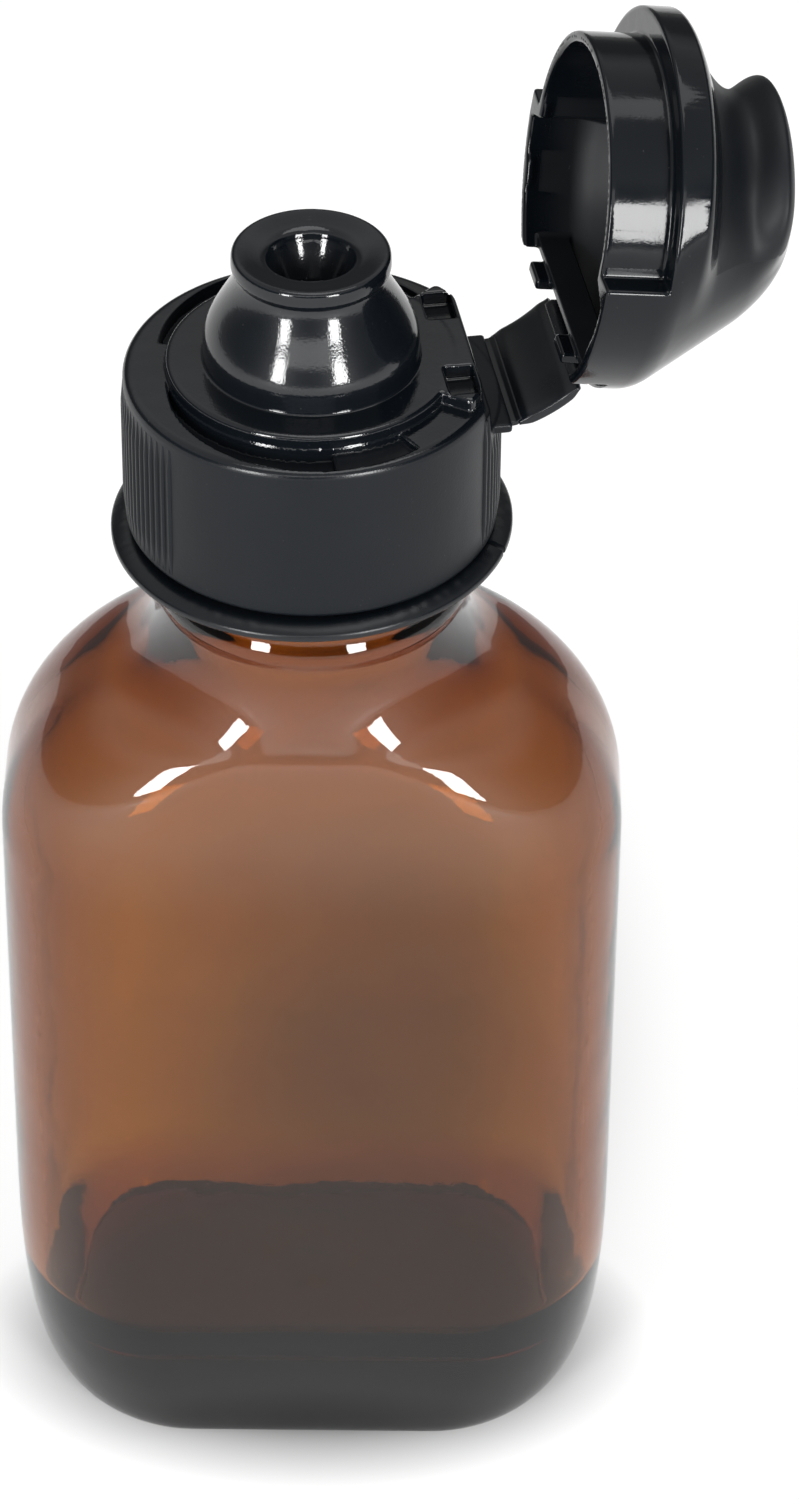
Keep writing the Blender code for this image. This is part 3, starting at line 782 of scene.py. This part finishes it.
def capField(x, y, z):
    c = cap
    r = np.hypot(x, y)
    azimuth = np.arctan2(y, x)
    solid = softMax(softMax(r - c["radius"], z - c["rim"], 0.8), c["foot"] - z, 0.4)
    foot, top = c["plateauFoot"] - z, z - c["plateauTop"]
    plateau = softMax(softMax(r - c["plateau"], top, 0.5), foot, 0.3)
    slant = math.radians(c["landAngle"])
    wedge = np.abs(y) * math.cos(slant) - x * math.sin(slant)
    land = softMax(softMax(softMax(wedge, r - c["landRadius"], 0.5), top, 0.4), foot, 0.3)
    solid = softMin(solid, softMin(plateau, land, 0.15), 0.12)
    bell, lip = nozzleField(r, z)
    solid = softMin(softMin(solid, bell, 0.2), lip, 0.5)
    throat = np.interp(z, *zip(*c["funnel"]))
    solid = softMax(solid, (throat - r) * 0.9, 0.5)
    for (edge, level), soft in ((c["ledge"], 0.3), (c["rearFlat"], 0.2)):
        solid = softMax(solid, np.minimum(x - edge, z - level), soft)
    solid = softMin(solid, inBox(x, y, z, *c["stub"], 0.25), 0.15)
    span = np.degrees(np.abs(azimuth)) + np.sign(y) * c["recessTurn"]
    bow = np.hypot(x, np.abs(y) - c["recess"][1]) - c["recess"][0]
    bow = np.maximum(bow, c["plateau"] + c["recessGap"] - r)
    for first, last, depth in (c["recessDeep"], c["recessStep"]):
        ends = np.maximum(first - span, span - last) * c["recessReach"]
        well = np.maximum(bow, np.maximum(ends, c["rim"] - depth - z))
        solid = softMax(solid, -well, 0.22)
    solid = softMax(solid, -inBox(x, np.abs(y), z, *c["pockets"], 0.3), 0.22)
    ridge = c["threadHeight"] * threadRidge(azimuth + capTurn.to_euler().z, z)
    hollow = softMax(r - c["bore"] + ridge, z - c["boreTop"], 0.4)
    hollow = np.minimum(hollow, softMax(r - c["seat"], z - c["ceiling"], 0.4))
    spoutLow, spoutWall = c["spout"]
    spout = np.where(z > spoutLow, throat + spoutWall - r, -1.0)
    chamber = np.maximum(r - np.interp(z, *zip(*c["chamber"])), z - c["chamber"][-1][0])
    return softMax(softMax(solid, -hollow, 0.25), -np.maximum(chamber, spout), 0.2)


capPiece = mouldPiece("capMoulding", capField, cap, capTurn, capBlack)
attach(capPiece, "cap")
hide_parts("screw_cap")


# grip ribs on the skirt, in two groups on the hinge axis
ribs = {
    "pitch": 3.0,
    "spread": 33.0,
    "low": 92.9,
    "high": 104.9,
    "flatSpread": 29.0,
    "flatHigh": 102.2,
    "proud": 0.2,
    "half": 0.26,
    "fade": (0.5, 0.8, 0.15),
    "section": (
        (-1.0, -0.35), (-0.75, 0.45), (-0.3, 0.95), (0.3, 0.95), (0.75, 0.45), (1.0, -0.35),
    ),
    "sharp": 50,
}


def ribRings(middle, top):
    lowFade, topFade, least = ribs["fade"]
    rings = []
    for z in spread(ribs["low"], top, 6):
        fade = ease((z - ribs["low"]) / lowFade + least) * ease((top - z) / topFade + least)
        ring = []
        for across, rise in ribs["section"]:
            reach = cap["radius"] + ribs["proud"] * (rise if rise < 0 else rise * fade)
            a = middle + across * ribs["half"] / cap["radius"]
            ring.append((reach * math.cos(a) * mm, reach * math.sin(a) * mm, z * mm))
        rings.append(ring)
    return rings


def makeRibs():
    tubes = []
    for side in (0, 180):
        for n in range(int(2 * ribs["spread"] / ribs["pitch"]) + 1):
            off = ribs["pitch"] * n - ribs["spread"]
            underFlat = side == 0 and abs(off) < ribs["flatSpread"]
            top = ribs["flatHigh"] if underFlat else ribs["high"]
            tubes.append(ribRings(math.radians(cap["yaw"] + side + off), top))
    made = tubesToMesh("gripRibs", tubes, capBlack, ribs["sharp"])
    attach(made, "cap")


makeRibs()


# folding strap and its creases, in the cap's own plane
strap = {
    "root": (15.5, 102.9),
    "length": 6.0,
    "shutAngle": 108.2,
    "opening": 75.0,
    "lidOpening": 23.4,
    "sag": 0.4,
    "thick": 1.15,
    "thin": 0.5,
    "rootHalf": 6.3,
    "endHalf": 6.6,
    "span": (0.03, 0.97),
    "endTaper": 4.5,
    "endInset": 0.12,
    "section": (48, 0.22, 0.45),  # points, squareness across and through
    "webSection": (32, 0.15, 0.4),
    "webSteps": (0.15, 0.3, 0.45, 0.6),
    "webLap": (0.75, 0.12),
    "lidSteps": (0.2, 0.35, 0.5, 0.65),
    "webInset": (0.25, 0.7),
}


def creaseTurn(place, degrees):
    middle = Vector((place[0], 0, place[1]))
    turn = Matrix.Rotation(math.radians(degrees), 4, "Y")
    return Matrix.Translation(middle) @ turn @ Matrix.Translation(-middle)


# points in the plane, some way out from a place
def stepsFrom(place, a, steps):
    return [(place[0] + t * math.cos(a), place[1] + t * math.sin(a)) for t in steps]


shutEnd = stepsFrom(strap["root"], math.radians(strap["shutAngle"]), [strap["length"]])[0]
strapTurn = capTurn @ creaseTurn(strap["root"], strap["opening"])
lidTurn = strapTurn @ creaseTurn(shutEnd, strap["lidOpening"])


# flip lid, drawn shut over the nozzle with heights from the cap's rim
lid = {
    "height": 17.3,
    "dome": 0.3,
    "topRadius": 5.5,
    "wall": 0.9,
    "seam": 0.3,
    "thumb": (
        (0.0, 15.0), (5.3, 15.0), (7.6, 15.0), (9.9, 11.1), (12.9, 8.8), (15.3, 10.0), (17.3, 5.5),
    ),
    "back": ((0.0, 15.0), (5.6, 15.0), (14.2, 9.2), (16.2, 7.2), (17.3, 5.5)),
    "thumbFrom": (0.25, 0.8),
    "ring": (11.9, 12.8),
    "ringAngle": 93.0,
    "ringBlend": (9.0, 6.0),
    "flangeLow": 5.3,
    "chord": (10.0, 10.8, 1.5),
    "bayTop": 3.15,
    "bayRoof": 1.0,
    "lugs": ((10.4, 5.3 - 1.5, 0.3), (11.35, 5.3 + 1.5, 3.4)),
    "plug": ((9.6, 1.9), (11.1, 4.4), (11.6, 4.4), (12.3, 2.4), (17.0, 2.4)),
    "plugEnd": 0.6,
    "beads": ((92.0, 0.7), (66.0, 0.7), (-66.0, 0.7), (-92.0, 0.7)),
    "beadSize": (0.28, 5.0, 0.45),  # proud, half angle, half height
    "dullFrom": (1.3, 0.4),
    "dullRoof": (0.1, 0.3),
    "dullEdge": 0.3,
    "box": ((-15.6, -15.6, 106.0), (15.6, 15.6, 124.2)),
    "cell": 0.2,
    "keep": 0.34,
}


# a curve that rounds every key
def smoothThrough(keys, count=240):
    heights, radii = (np.array(side, float) for side in zip(*keys))
    slopes = np.gradient(radii, heights)
    rises = np.diff(radii)
    slopes[1:-1][rises[1:] * rises[:-1] <= 0] = 0  # level at a step, never past it
    slopes[0] = 0
    at = np.linspace(heights[0], heights[-1], count)
    i = np.clip(np.searchsorted(heights, at) - 1, 0, len(heights) - 2)
    gap = heights[i + 1] - heights[i]
    t = (at - heights[i]) / gap
    up = t * t * (3 - 2 * t)
    bend = slopes[i] * gap * t * (1 - t) ** 2 - slopes[i + 1] * gap * t * t * (1 - t)
    return at, radii[i] * (1 - up) + radii[i + 1] * up + bend


# straight between the keys, with softened corners
def taperThrough(keys, count=240, soft=0.9, taps=9):
    at = np.linspace(keys[0][0], keys[-1][0], count)
    offsets = np.linspace(-1, 1, taps)
    return at, sum(np.interp(at + soft * off, *zip(*keys)) for off in offsets) / taps


thumbCurve, backCurve = smoothThrough(lid["thumb"]), taperThrough(lid["back"])


def lidSkin(azimuth, h):
    start, over = lid["thumbFrom"]
    share = softStep((start - np.cos(azimuth)) / over)
    return np.interp(h, *backCurve) * (1 - share) + np.interp(h, *thumbCurve) * share


def lidRoom(azimuth, h):
    k = lid
    room = lidSkin(azimuth, np.minimum(h + k["wall"] * 0.7, k["height"])) - k["wall"]
    before, over = k["ringBlend"]
    share = softStep((np.degrees(np.abs(azimuth)) - k["ringAngle"] + before) / over)
    room = room * (1 - share) + np.minimum(room, k["ring"][0]) * share
    proud, halfAngle, halfHeight = k["beadSize"]
    for turn, level in k["beads"]:
        off = (np.degrees(azimuth) - turn + 180) % 360 - 180
        room = room - proud * np.exp(-(off / halfAngle) ** 4 - ((h - level) / halfHeight) ** 2)
    return room


def lidField(x, y, z):
    k = lid
    h = z - cap["rim"]
    r = np.hypot(x, y)
    azimuth = np.arctan2(y, x)
    solid = (r - lidSkin(azimuth, h)) * 0.8
    top = h - k["height"] - k["dome"] * np.clip(1 - (r / k["topRadius"]) ** 2, 0, 1)
    solid = softMax(softMax(solid, top, 1.2), k["seam"] - h, 0.25)
    hollow = np.maximum((r - lidRoom(azimuth, h)) * 0.85, h - k["height"] + 1.5 * k["wall"])
    chordIn, chordOut, chordLow = k["chord"]
    block = np.maximum(np.maximum(chordIn - x, chordLow - h), h - k["bayTop"] - k["bayRoof"])
    solid = softMax(solid, -softMax(hollow, -block, 0.3), 0.3)
    slant = math.radians(k["ringAngle"] - 90)
    front = x * math.cos(slant) + np.abs(y) * math.sin(slant)
    cut = softMax(softMax(k["ring"][1] - r, h - k["flangeLow"], 0.3), front, 0.3)
    solid = softMax(solid, -cut, 0.35)
    solid = softMax(solid, -np.maximum(chordOut - x, h - k["bayTop"]), 0.25)
    solid = softMin(solid, inBox(x, np.abs(y), h, *k["lugs"], 0.3), 0.2)
    heights, radii = zip(*k["plug"])
    plug = softMax((r - np.interp(h, heights, radii)) * 0.75, heights[0] - h, 0.3)
    return softMin(solid, softMax(plug, h - k["height"] + k["plugEnd"], 0.2), 0.4)


# 1 on the hollow side above the ring's polished edge, 0 on the skin
def lidInside(x, y, z):
    k = lid
    h, r = z - cap["rim"], np.hypot(x, y)
    azimuth = np.arctan2(y, x)
    skin = lidSkin(azimuth, np.minimum(h, k["height"])) - k["wall"]
    edge = np.where(np.degrees(np.abs(azimuth)) > k["ringAngle"], k["ring"][0], skin)
    deep = softStep((h - k["dullFrom"][0]) / k["dullFrom"][1])
    past, over = k["dullRoof"]
    deep = deep * softStep((k["height"] - k["wall"] + past - h) / over)
    return softStep((edge + k["dullEdge"] - r) / k["dullEdge"]) * deep


lidPiece = mouldPiece("lidMoulding", lidField, lid, lidTurn, lidBlack, lidInside)
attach(lidPiece, "lid")
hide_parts("flip_lid")


# rounded slab section across the hinge axis
def slabRing(middle, up, half, thick, count, acrossPower, throughPower):
    ring = []
    for n in range(count):
        turn = 2 * math.pi * (n + 0.5) / count
        c, s = math.cos(turn), math.sin(turn)
        y = math.copysign(abs(c) ** acrossPower, c) * half
        rise = math.copysign(abs(s) ** throughPower, s) * thick / 2
        ring.append(middle + up * rise + Vector((0, y, 0)))
    return ring


def makeStrap():
    k = strap
    bend = (k["length"] ** 2 / 4 + k["sag"] ** 2) / (2 * k["sag"])
    sweep = math.asin(k["length"] / 2 / bend)
    rings = []
    for share in spread(*k["span"], 28):
        a = sweep * (2 * share - 1)
        full = ease(k["endTaper"] * min(share, 1 - share))
        thick = k["thin"] + (k["thick"] - k["thin"]) * full
        half = k["rootHalf"] + (k["endHalf"] - k["rootHalf"]) * share - k["endInset"] * (1 - full)
        rise = bend * (math.cos(sweep) - math.cos(a))
        middle = Vector((k["length"] / 2 + bend * math.sin(a), 0, rise))
        up = Vector((-math.sin(a), 0, math.cos(a)))
        rings.append(slabRing(middle, up, half, thick, *k["section"]))
    along = Matrix.Rotation(-math.radians(k["shutAngle"]), 4, "Y")
    along = Matrix.Translation((k["root"][0], 0, k["root"][1])) @ along
    rings = moveRings(rings, strapTurn @ along)
    made = tubesToMesh("strapPlate", [rings], strapBlack)
    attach(made, "strap")
    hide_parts("hinge_strap")


makeStrap()


# thin webs at the two creases, each laid between its two bodies as they stand
def makeWeb(name, path, half):
    points = [Vector((x, 0, z)) for x, z in path]
    rings = []
    for i, point in enumerate(points):
        ahead = (points[min(i + 1, len(points) - 1)] - points[max(i - 1, 0)]).normalized()
        up = Vector((-ahead.z, 0, ahead.x))
        rings.append(slabRing(point, up, half, strap["thin"], *strap["webSection"]))
    made = tubesToMesh(name, [moveRings(rings, capTurn)], strapBlack)
    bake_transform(made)


def makeWebs():
    k = strap
    root, steps = k["root"], k["webSteps"]
    a = math.radians(k["shutAngle"] - k["opening"])
    lap, drop = k["webLap"]
    path = [(root[0] - lap + lap * t, root[1] - drop * (1 - t)) for t in spread(0, 1, 5)]
    path += stepsFrom(root, a, steps)
    makeWeb("rootWeb", path, k["rootHalf"] - k["webInset"][0])
    end = stepsFrom(root, a, [k["length"]])[0]
    lean = math.radians(90 - k["opening"] - k["lidOpening"])
    path = stepsFrom(end, a, [-t for t in reversed(steps)] + [0.0])
    path += stepsFrom(end, lean, k["lidSteps"])
    makeWeb("endWeb", path, k["endHalf"] - k["webInset"][1])


makeWebs()
print("strap and creases laid")


# torn tamper band under the skirt
band = {
    "topRadius": 15.35,
    "radius": 16.25,
    "bore": 13.0,
    "height": 1.15,
    "edge": 0.65,
    "drop": 0.45,
    "tilt": 1.2,
    "split": -17.0,
    "gap": 0.6,
    "ragged": (0.05, 0.35),
    "sharp": 60,
}


def makeBand():
    k = band
    top, low = k["height"] / 2, -k["height"] / 2
    outer, bore, edge = k["radius"], k["bore"], low + k["edge"]
    outline = [
        (k["topRadius"] - 0.25, top - 0.02), (k["topRadius"], top - 0.1),
        (outer - 0.12, edge + 0.08), (outer, edge - 0.08),
        (outer, low + 0.22), (outer - 0.1, low + 0.06), (outer - 0.3, low),
        (bore + 0.15, low), (bore, low + 0.15), (bore, top - 0.15), (bore + 0.15, top),
    ]
    torn = (0, 1, len(outline) - 1)  # the points on the top, where the bridges broke
    half = math.degrees(k["gap"] / 2 / outer)
    rings = []
    for degrees in spread(k["split"] + half, k["split"] + 360 - half, 480):
        a = math.radians(degrees)
        ragged = k["ragged"][0] * noise.noise(Vector((degrees * k["ragged"][1], 0, 0)))
        ring = []
        for n, (radius, z) in enumerate(outline):
            rise = ragged if n in torn else 0.0
            ring.append(Vector((radius * math.cos(a), radius * math.sin(a), z + rise)))
        rings.append(ring)
    tilt = Matrix.Rotation(-math.radians(k["tilt"]), 4, "Y")
    place = Matrix.Translation((0, 0, cap["foot"] - k["drop"] - top)) @ tilt
    made = tubesToMesh("tornBand", [moveRings(rings, place)], bandBlack, k["sharp"])
    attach(made, "bottle")
    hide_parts("tamper_band")


makeBand()
print("closure done")


# floor, world and lamps, with lamp sizes in metres
stage = {
    "floorTone": 0.46,
    "floorGlow": 0.67,
    "floorHalf": 2.0,
    "floorDrop": 0.2,
    "paintedShadowHalf": (26.0, 16.5),
    "paintedShadowSpan": (0.75, 1.2),
    "shade": ((6.0, 44.0), (31.0, 66.0), 0.42),
    "shadeSpan": (0.1, 1.0),
    "worldFill": 0.30,
    "worldSeen": (
        (0.0, 0.22), (0.10, 0.12), (0.20, 0.10), (0.42, 0.14), (0.62, 0.62), (1.0, 0.5),
    ),
    "strips": ((-123, 12), (-59, 13)),  # azimuth, width in degrees
    "stripReach": 1.1,
    "stripLow": 0.1,
    "stripTop": 0.62,
    "stripBright": 27.0,
    "bridgeRise": 1.2,
    "bridgeTall": 0.55,
    "bridgeAim": 0.1,
    "bridgeBright": 2.0,
    "topPlace": (0.1, 0.15, 1.3),
    "topSize": 0.8,
    "topBright": 1.98,
}


def shownRays(tree):
    path = addNode(tree, "LightPath").outputs
    seen = combine(tree, "MAXIMUM", path["Is Camera Ray"], path["Is Glossy Ray"])
    return combine(tree, "MAXIMUM", seen, path["Is Transmission Ray"])


# 1 on the edge of an oval on the paper, less inside it
def ovalReach(tree, middle, half):
    (x, y), (wide, deep) = middle, half
    shifted = vectorStep(tree, "ADD", objectPlace(tree), (-x * mm, -y * mm, 0))
    scaled = vectorStep(tree, "MULTIPLY", shifted, (1000 / wide, 1000 / deep, 0))
    return vectorStep(tree, "LENGTH", scaled)


# the bottle's own soft shade on the paper behind it
def softShade(tree):
    middle, half, darkest = stage["shade"]
    low, high = stage["shadeSpan"]
    limits = {"From Min": low, "From Max": high}
    fall = addNode(tree, "MapRange", limits, interpolation_type="SMOOTHSTEP")
    tree.links.new(ovalReach(tree, middle, half), fall.inputs["Value"])
    return mixColours(tree, fall.outputs["Result"], (darkest,) * 3, (1.0, 1.0, 1.0))


# pale paper that glows for the camera, with the glow taken away under the bottle as a painted
# contact shadow
def makeFloor():
    made, tree, shader = newMaterial("paperFloor")
    tree.nodes.remove(shader)
    paper = addNode(tree, "BsdfDiffuse")
    glow = addNode(tree, "Emission")
    # painted contact shadow: the glow fades to nothing inside an oval round the bottle's foot
    reach = ovalReach(tree, (0, 0), stage["paintedShadowHalf"])
    clear = rescale(tree, reach, *stage["paintedShadowSpan"], 0.0, stage["floorGlow"])
    tree.links.new(combine(tree, "MULTIPLY", clear, shownRays(tree)), glow.inputs["Strength"])
    shade = softShade(tree)
    tone = vectorStep(tree, "MULTIPLY", shade, (stage["floorTone"],) * 3)
    tree.links.new(tone, paper.inputs["Color"])
    tree.links.new(shade, glow.inputs["Color"])
    both = addNode(tree, "AddShader")
    tree.links.new(paper.outputs[0], both.inputs[0])
    tree.links.new(glow.outputs[0], both.inputs[1])
    tree.links.new(both.outputs[0], tree.nodes["Material Output"].inputs["Surface"])
    half = stage["floorHalf"]
    corners = [(-half, -half, 0), (half, -half, 0), (half, half, 0), (-half, half, 0)]
    mesh = bpy.data.meshes.new("paperFloor")
    mesh.from_pydata(corners, [], [(0, 1, 2, 3)])
    mesh.materials.append(made)
    floor = bpy.data.objects.new("paperFloor", mesh)
    floor.location.z = -stage["floorDrop"] * mm
    scene.collection.objects.link(floor)


# an even fill for the light, and a room with dark and bright bands for reflections
def makeWorld():
    world = bpy.data.worlds.new("paleRoom")
    scene.world = world
    world.use_nodes = True
    tree = world.node_tree
    sky = tree.nodes["Background"]
    sky.inputs["Color"].default_value = (1, 1, 1, 1)
    ramp = addNode(tree, "ValToRGB")
    marks = ramp.color_ramp.elements
    for stop, (place, level) in enumerate(stage["worldSeen"]):
        mark = marks[stop] if stop < 2 else marks.new(place)
        mark.position, mark.color = place, (level, level, level, 1)
    up = heightOf(tree, addNode(tree, "TexCoord").outputs["Generated"])
    tree.links.new(up, ramp.inputs[0])
    mixed = mixValues(tree, shownRays(tree), stage["worldFill"], ramp.outputs["Color"])
    tree.links.new(mixed, sky.inputs["Strength"])


def addLamp(name, place, aim, wide, tall, bright):
    lamp = bpy.data.lights.new(name, "AREA")
    lamp.shape = "RECTANGLE"
    lamp.size, lamp.size_y = wide, tall
    lamp.energy = bright * math.pi * wide * tall
    made = bpy.data.objects.new(name, lamp)
    scene.collection.objects.link(made)
    made.location = place
    made.rotation_euler = (Vector(aim) - Vector(place)).to_track_quat("-Z", "Y").to_euler()


# two upright strips, a faint one over the space between them, and a soft light overhead
def makeLamps():
    s = stage
    reach, low, top = s["stripReach"], s["stripLow"], s["stripTop"]
    middle = (low + top) / 2
    for azimuth, degrees in s["strips"]:
        a = math.radians(azimuth)
        place = (reach * math.cos(a), reach * math.sin(a), middle)
        wide = reach * math.radians(degrees)
        addLamp("strip%d" % abs(azimuth), place, (0, 0, middle), wide, top - low, s["stripBright"])
    a = math.radians(sum(azimuth for azimuth, _ in s["strips"]) / 2)
    place = (reach * math.cos(a), reach * math.sin(a), top * s["bridgeRise"])
    tall = top * s["bridgeTall"]
    addLamp("stripBridge", place, (0, 0, s["bridgeAim"]), reach, tall, s["bridgeBright"])
    addLamp("topLight", s["topPlace"], (0, 0, 0), s["topSize"], s["topSize"], s["topBright"])


makeFloor()
makeWorld()
makeLamps()
print("stage set")
